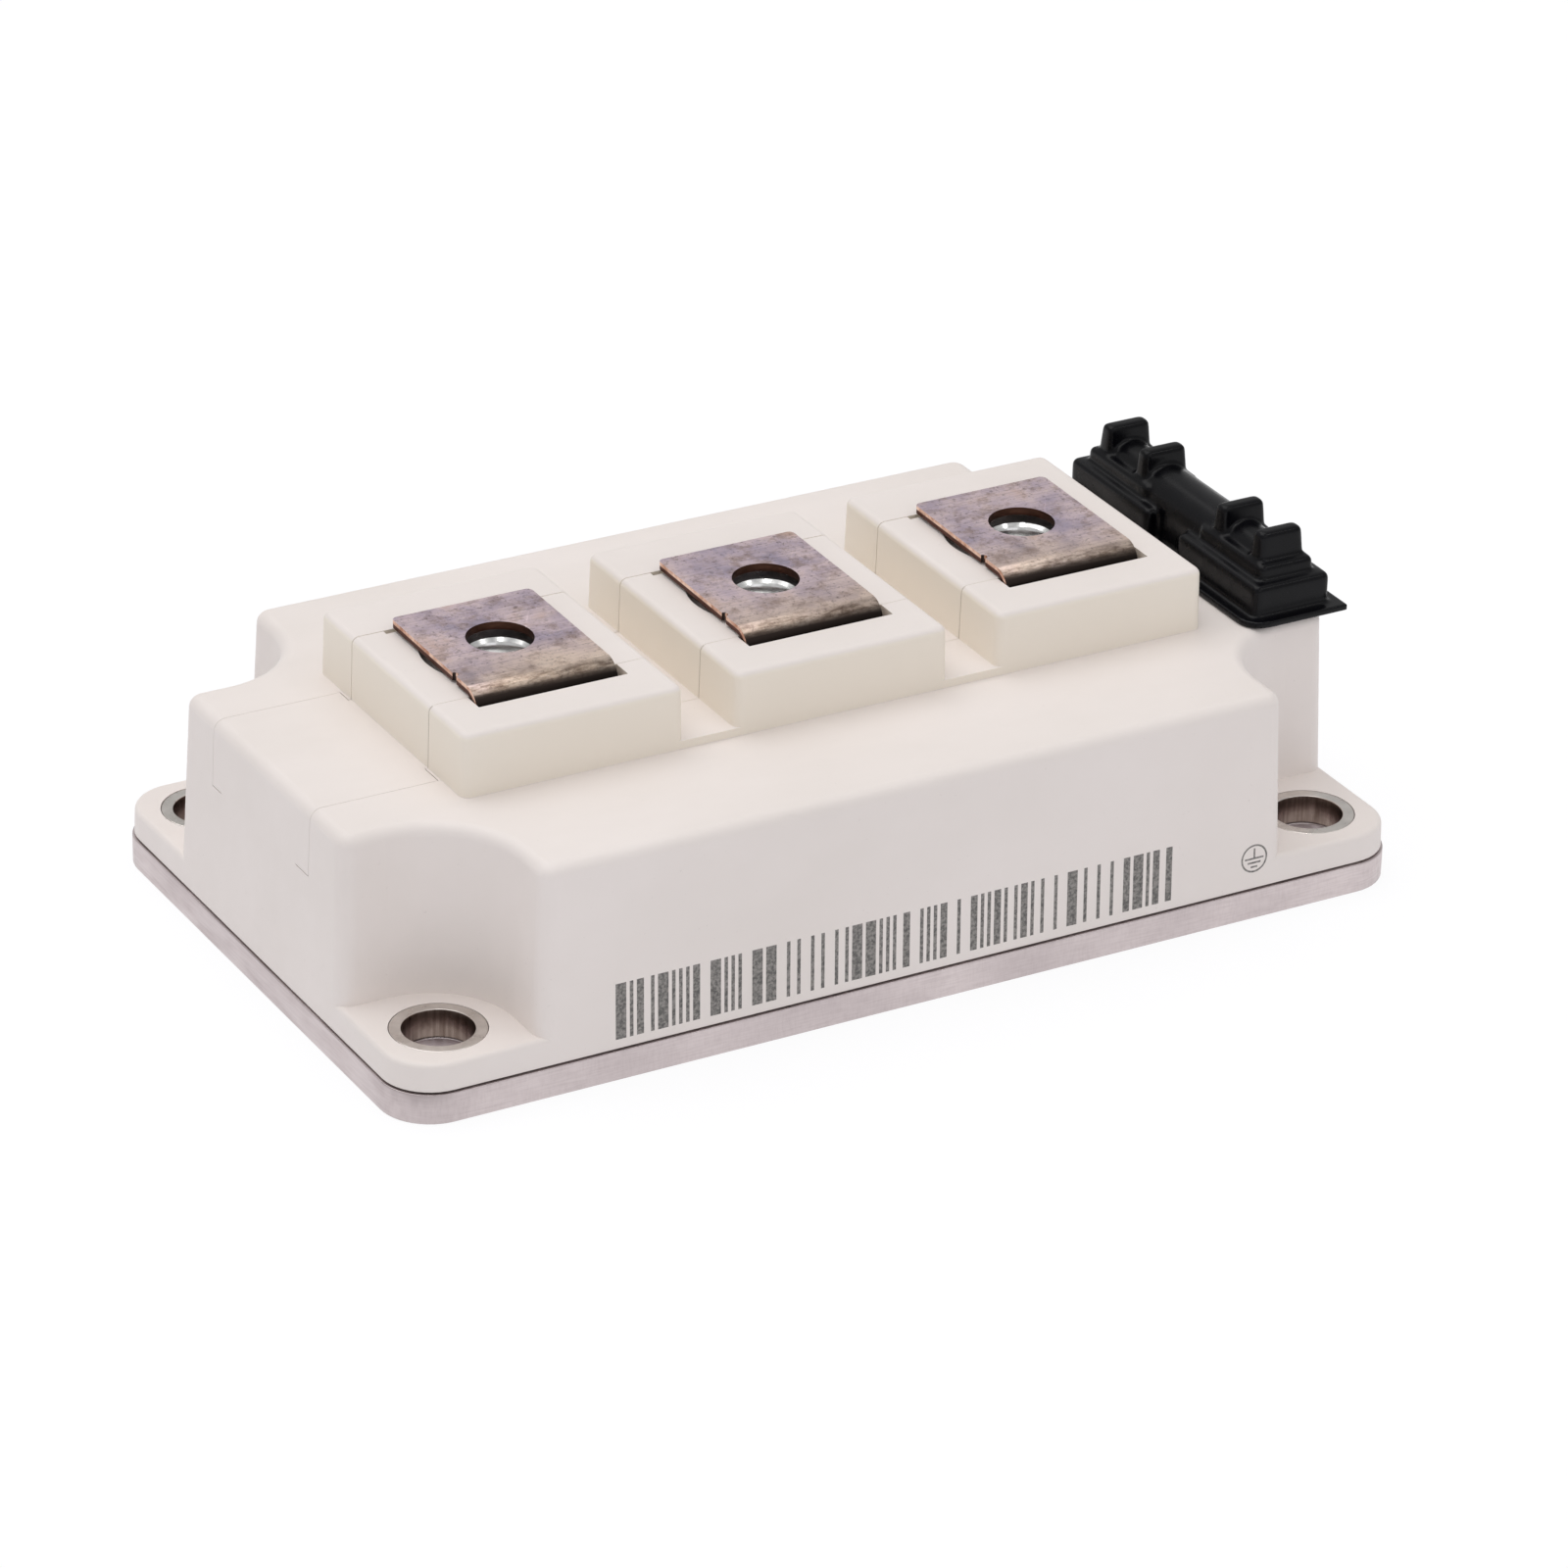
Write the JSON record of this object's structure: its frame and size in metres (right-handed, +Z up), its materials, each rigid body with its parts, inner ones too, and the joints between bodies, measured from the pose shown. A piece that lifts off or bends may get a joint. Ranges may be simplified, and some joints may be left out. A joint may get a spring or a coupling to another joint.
{
  "type": "igbt module",
  "caption": "Half-bridge power module: moulded housing on a metal baseplate, screw terminals over captive nuts, corner mounting holes and a rubber cap over the auxiliary tabs.",
  "frame": {"origin": "centre of the underside of the baseplate", "axes": "+Z up from the heat sink face to the terminals, +X along the module to the end with the auxiliary tabs, +Y to the side the terminals' free ends point to"},
  "size_m": [0.1074, 0.0614, 0.0308],
  "materials": {
    "plate_nickel": "nickel plated copper, satin",
    "adhesive": "cured silicone adhesive",
    "bushing_steel": "zinc plated, bright",
    "housing_plastic": "off-white moulded plastic, fine texture",
    "carrier_plastic": "off-white moulded plastic, fine texture",
    "nut_zinc": "zinc plated",
    "terminal_tin": "tin plated copper, satin",
    "ceramic": "white alumina",
    "copper": "bare copper",
    "silicon": "metallised silicon",
    "bond_aluminium": "drawn wire",
    "tab_tin": "tin plated brass",
    "lead_tin": "tinned copper",
    "gel": "clear silicone gel",
    "cap_rubber": "black conductive rubber, matt"
  },
  "bodies": {
    "root": {"baseplate": "plate_nickel", "sealing_bead": "adhesive", "bushing_front_left": "bushing_steel", "bushing_front_right": "bushing_steel", "bushing_rear_left": "bushing_steel", "bushing_rear_right": "bushing_steel", "housing": "housing_plastic", "nut_carrier": "carrier_plastic", "nut_1": "nut_zinc", "nut_2": "nut_zinc", "nut_3": "nut_zinc", "power_terminal_1": "terminal_tin", "power_terminal_2": "terminal_tin", "power_terminal_3": "terminal_tin", "ceramic_tile_left": "ceramic", "ceramic_tile_right": "ceramic", "copper_foils_left": "copper", "copper_foils_right": "copper", "igbt_chips_left": "silicon", "igbt_chips_right": "silicon", "diode_chips_left": "silicon", "diode_chips_right": "silicon", "bond_wires_left": "bond_aluminium", "bond_wires_right": "bond_aluminium", "aux_tab_1": "tab_tin", "aux_tab_2": "tab_tin", "aux_tab_3": "tab_tin", "aux_tab_4": "tab_tin", "aux_lead_1": "lead_tin", "aux_lead_2": "lead_tin", "aux_lead_3": "lead_tin", "aux_lead_4": "lead_tin", "silicone_gel": "gel", "tab_cap": "cap_rubber"}
  },
  "joints": []
}
